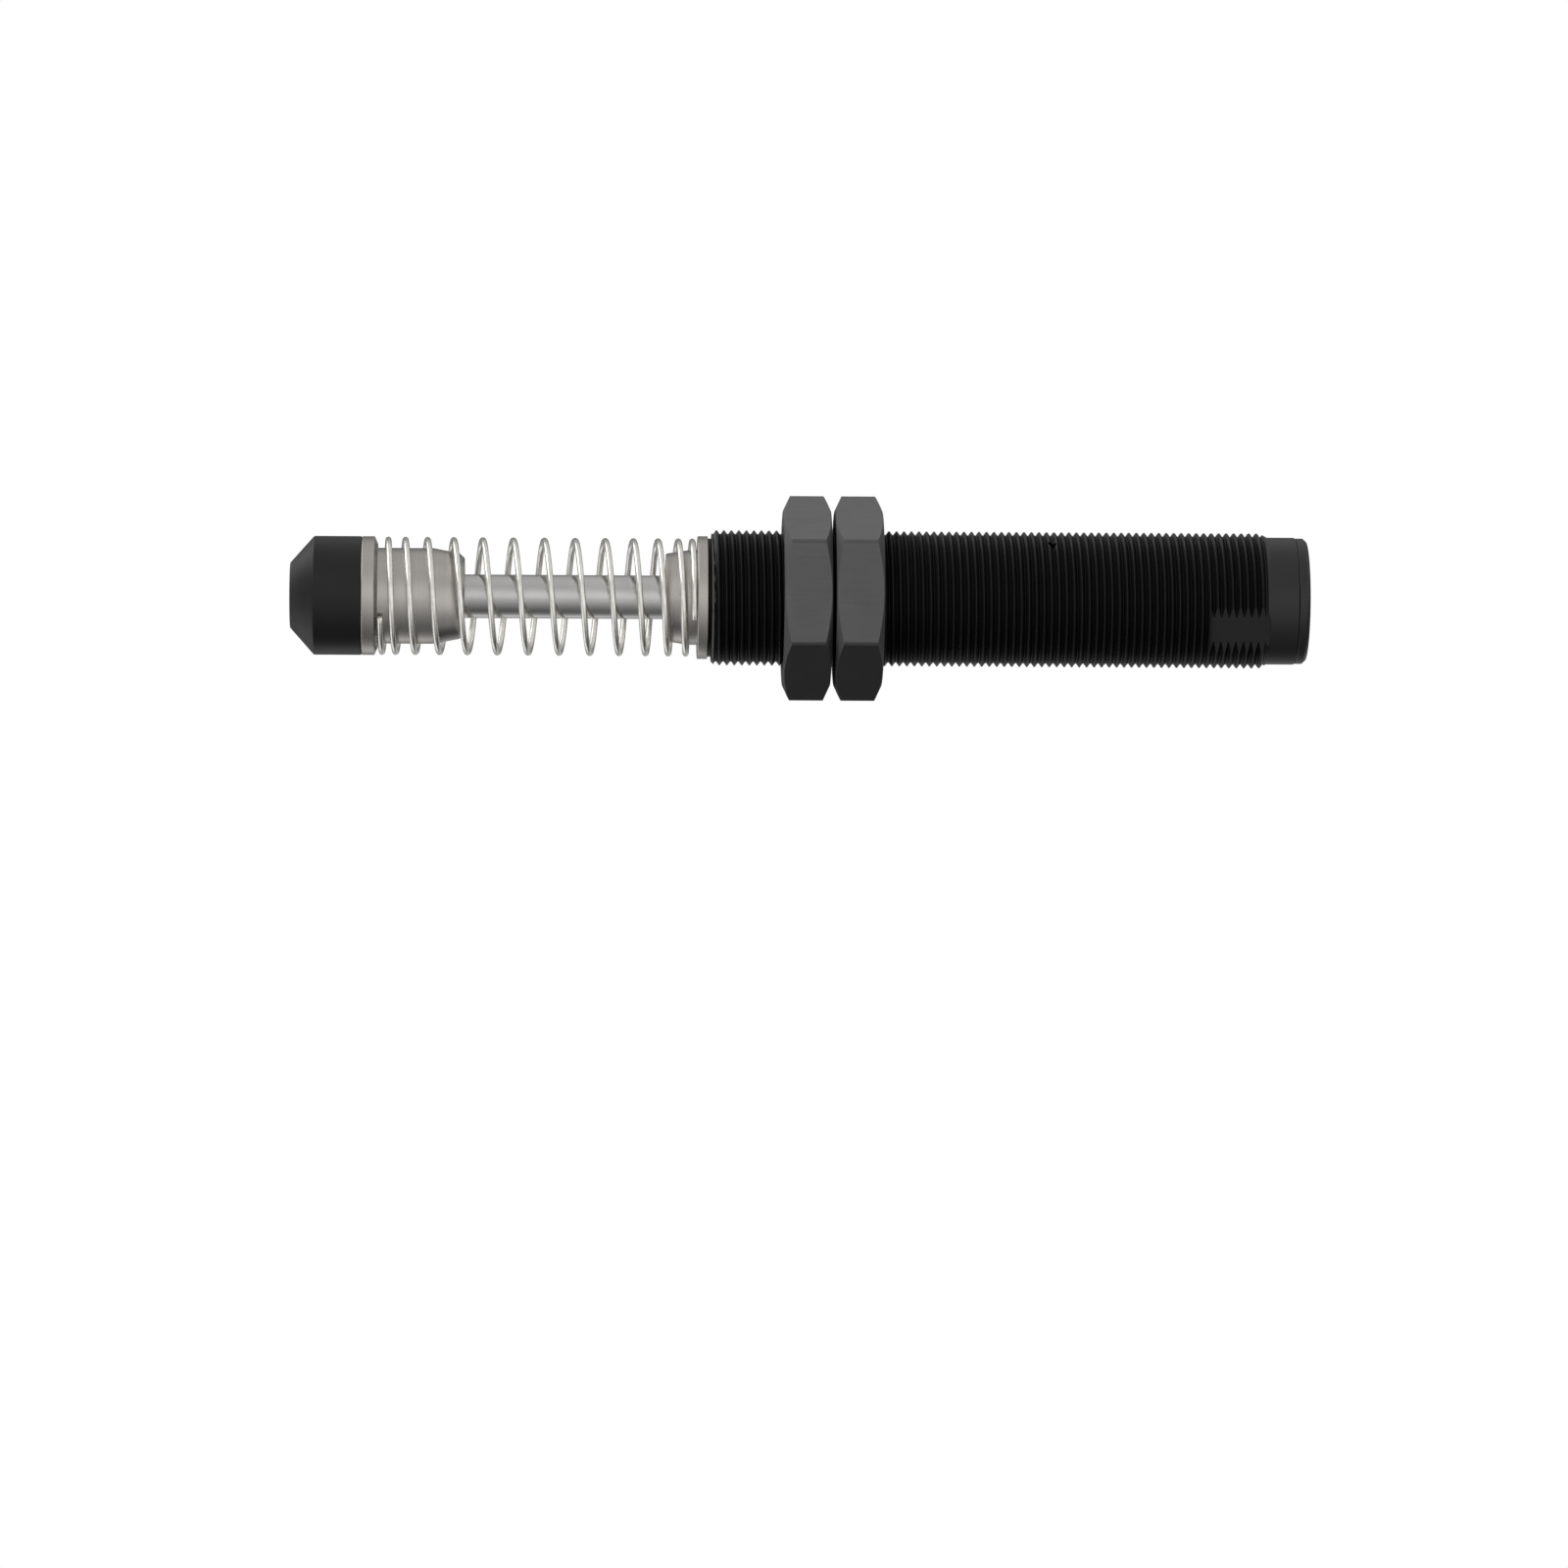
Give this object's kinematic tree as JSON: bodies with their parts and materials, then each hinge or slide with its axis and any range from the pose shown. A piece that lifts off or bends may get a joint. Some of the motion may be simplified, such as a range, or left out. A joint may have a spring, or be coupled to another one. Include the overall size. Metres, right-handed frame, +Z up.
{
  "type": "industrial shock absorber",
  "caption": "Self-compensating hydraulic shock absorber: threaded body with lock nuts, external return spring and bumper cap; slows a moving load to a soft stop over a 40 mm stroke.",
  "frame": {"origin": "on the stroke axis, in the plane of the rear lock nut's bearing face, where the free mounting thread begins", "axes": "+X along the stroke axis from the bumper cap towards the rear end cap, which is the way the rod moves as it is pushed in; +Z up, with the side port and the wrench flats turned about X as the record's notes say"},
  "size_m": [0.2028, 0.0368, 0.0408],
  "materials": {
    "urethane": "satin",
    "nickel_steel": "satin",
    "screw_steel": "satin",
    "hard_chrome": "polished",
    "plain_steel": "satin",
    "bronze": "satin",
    "spring_steel": "satin",
    "nitrile_rubber": "matte",
    "closed_cell_foam": "matte",
    "black_oxide_body": "satin",
    "black_oxide_cap": "satin",
    "black_oxide_nut": "satin",
    "copper_washer": "satin"
  },
  "bodies": {
    "barrel": {"body_tube": "black_oxide_body", "bearing_housing": "nickel_steel", "rod_wiper": "nitrile_rubber", "rod_bearing": "bronze", "rod_seal": "nitrile_rubber", "seal_backup_washer": "plain_steel", "seal_retaining_ring": "screw_steel", "housing_o_ring": "nitrile_rubber", "accumulator_foam": "closed_cell_foam", "tube_bulkhead": "plain_steel", "pressure_tube": "plain_steel", "side_port_plug": "screw_steel", "rear_end_cap": "black_oxide_cap", "end_cap_o_ring": "nitrile_rubber", "fill_screw": "screw_steel", "fill_screw_seal": "copper_washer", "return_spring": "spring_steel"},
    "rod": {"piston_rod": "hard_chrome", "strike_head": "nickel_steel", "head_screw": "screw_steel", "bumper_cap": "urethane", "rebound_washer": "plain_steel", "piston": "bronze", "piston_nut": "screw_steel"},
    "check_ring": {"check_ring": "bronze"},
    "lock_nut_front": {"lock_nut_front": "black_oxide_nut"},
    "lock_nut_rear": {"lock_nut_rear": "black_oxide_nut"}
  },
  "joints": [
    {"name": "rod_stroke", "type": "slide", "parent": "barrel", "child": "rod", "axis": [1, 0, 0], "range_m": [0, 0.04], "stiffness_N_per_m": 165, "springref_m": -0.05, "deforming": ["return_spring"]},
    {"name": "check_ring_float", "type": "slide", "parent": "rod", "child": "check_ring", "axis": [1, 0, 0], "range_m": [0, 0.0007]},
    {"name": "front_nut_slide", "type": "slide", "parent": "barrel", "child": "lock_nut_front", "axis": [1, 0, 0], "range_m": [-0.0133, 0]},
    {"name": "rear_nut_slide", "type": "slide", "parent": "barrel", "child": "lock_nut_rear", "axis": [1, 0, 0], "range_m": [0, 0.0755]}
  ]
}
